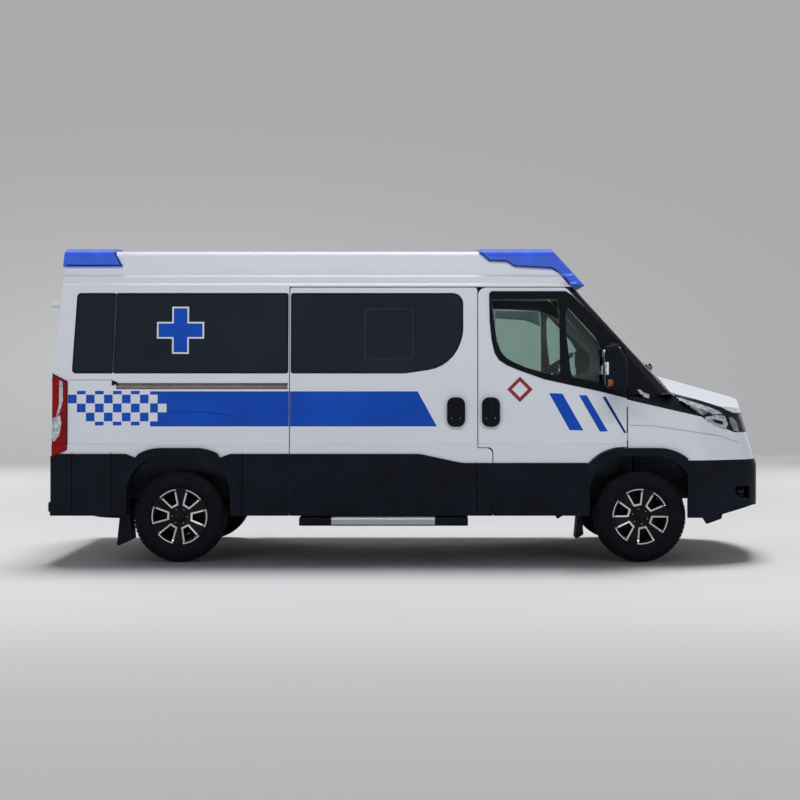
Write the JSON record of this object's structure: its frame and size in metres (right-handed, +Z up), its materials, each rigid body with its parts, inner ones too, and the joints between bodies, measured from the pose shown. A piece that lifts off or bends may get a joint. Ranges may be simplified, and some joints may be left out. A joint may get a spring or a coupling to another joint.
{
  "type": "ambulance",
  "caption": "Panel-van ambulance with a high roof, hinged cab and rear doors, lifting bonnet, steered front wheels and rolling road wheels.",
  "frame": {"origin": "on the ground under the middle of the vehicle", "axes": "+X forward, +Y to the vehicle's left, +Z up"},
  "size_m": [5.5477, 2.54, 2.4379],
  "materials": {
    "white_paint": "gloss",
    "black_plastic": "satin",
    "dark_glass": "gloss",
    "clear_glass": "gloss",
    "blue_lens": "gloss",
    "red_lens": "gloss",
    "lamp_lens": "gloss",
    "tyre_rubber": "matte",
    "alloy": "machined",
    "cast_metal": "matte",
    "chassis_steel": "satin",
    "seat_fabric": "woven"
  },
  "bodies": {
    "body": {"arch_liners": "black_plastic", "cab_floor": "chassis_steel", "chassis_frame": "chassis_steel", "dashboard": "black_plastic", "door_pillars": "white_paint", "engine": "cast_metal", "exhaust": "cast_metal", "front_bumper": "black_plastic", "front_suspension": "chassis_steel", "front_wings": "white_paint", "fuel_tank": "black_plastic", "grille": "black_plastic", "headlamps": "lamp_lens", "leaf_springs": "chassis_steel", "load_floor": "chassis_steel", "lower_cladding": "black_plastic", "mud_flaps": "black_plastic", "partition": "white_paint", "rear_axle": "cast_metal", "rear_bumper": "black_plastic", "rear_sill": "white_paint", "roof": "white_paint", "roof_lamp_front": "blue_lens", "roof_lamps_rear": "blue_lens", "seats": "seat_fabric", "side_glass": "dark_glass", "side_step": "black_plastic", "side_wall_left": "white_paint", "side_wall_right": "white_paint", "sills": "white_paint", "sliding_door": "white_paint", "sliding_door_handle": "black_plastic", "spare_wheel": "tyre_rubber", "steering_wheel": "black_plastic", "tail_lamps": "red_lens", "windscreen": "clear_glass", "windscreen_frame": "white_paint"},
    "front_door_right": {"front_door_right": "white_paint", "front_door_glass_right": "clear_glass", "front_door_trim_right": "black_plastic"},
    "front_door_left": {"front_door_left": "white_paint", "front_door_glass_left": "clear_glass", "front_door_trim_left": "black_plastic"},
    "rear_door_right": {"rear_door_right": "white_paint", "rear_door_glass_right": "dark_glass"},
    "rear_door_left": {"rear_door_left": "white_paint", "rear_door_glass_left": "dark_glass"},
    "bonnet": {"bonnet": "white_paint"},
    "knuckle_right": {"knuckle_right": "cast_metal"},
    "knuckle_left": {"knuckle_left": "cast_metal"},
    "wheel_front_right": {"rim_front_right": "alloy", "tyre_front_right": "tyre_rubber"},
    "wheel_front_left": {"rim_front_left": "alloy", "tyre_front_left": "tyre_rubber"},
    "wheel_rear_right": {"rim_rear_right": "alloy", "tyre_rear_right": "tyre_rubber"},
    "wheel_rear_left": {"rim_rear_left": "alloy", "tyre_rear_left": "tyre_rubber"}
  },
  "joints": [
    {"name": "front_door_right_hinge", "type": "hinge", "parent": "body", "child": "front_door_right", "pos_m": [1.635, -1.003, 1.2], "axis": [0, 0, 1], "range_deg": [0, 68]},
    {"name": "rear_door_right_hinge", "type": "hinge", "parent": "body", "child": "rear_door_right", "pos_m": [-2.755, -0.905, 1.3], "axis": [0, 0, 1], "range_deg": [0, 170]},
    {"name": "steer_right", "type": "hinge", "parent": "body", "child": "knuckle_right", "pos_m": [1.74, -0.77, 0.35], "axis": [0, 0, 1], "range_deg": [-35, 35]},
    {"name": "wheel_front_right_spin", "type": "hinge", "parent": "knuckle_right", "child": "wheel_front_right", "pos_m": [1.74, -0.86, 0.35], "axis": [0, 1, 0], "continuous": true},
    {"name": "wheel_rear_right_spin", "type": "hinge", "parent": "body", "child": "wheel_rear_right", "pos_m": [-1.78, -0.86, 0.35], "axis": [0, 1, 0], "continuous": true},
    {"name": "front_door_left_hinge", "type": "hinge", "parent": "body", "child": "front_door_left", "pos_m": [1.635, 1.003, 1.2], "axis": [0, 0, -1], "range_deg": [0, 68]},
    {"name": "rear_door_left_hinge", "type": "hinge", "parent": "body", "child": "rear_door_left", "pos_m": [-2.755, 0.905, 1.3], "axis": [0, 0, -1], "range_deg": [0, 170]},
    {"name": "steer_left", "type": "hinge", "parent": "body", "child": "knuckle_left", "pos_m": [1.74, 0.77, 0.35], "axis": [0, 0, 1], "range_deg": [-35, 35]},
    {"name": "wheel_front_left_spin", "type": "hinge", "parent": "knuckle_left", "child": "wheel_front_left", "pos_m": [1.74, 0.86, 0.35], "axis": [0, 1, 0], "continuous": true},
    {"name": "wheel_rear_left_spin", "type": "hinge", "parent": "body", "child": "wheel_rear_left", "pos_m": [-1.78, 0.86, 0.35], "axis": [0, 1, 0], "continuous": true},
    {"name": "bonnet_hinge", "type": "hinge", "parent": "body", "child": "bonnet", "pos_m": [1.815, 0, 1.448], "axis": [0, -1, 0], "range_deg": [0, 55]}
  ],
  "couplings": [
    {"joint": "steer_left", "follows": "steer_right", "ratio": 1}
  ]
}
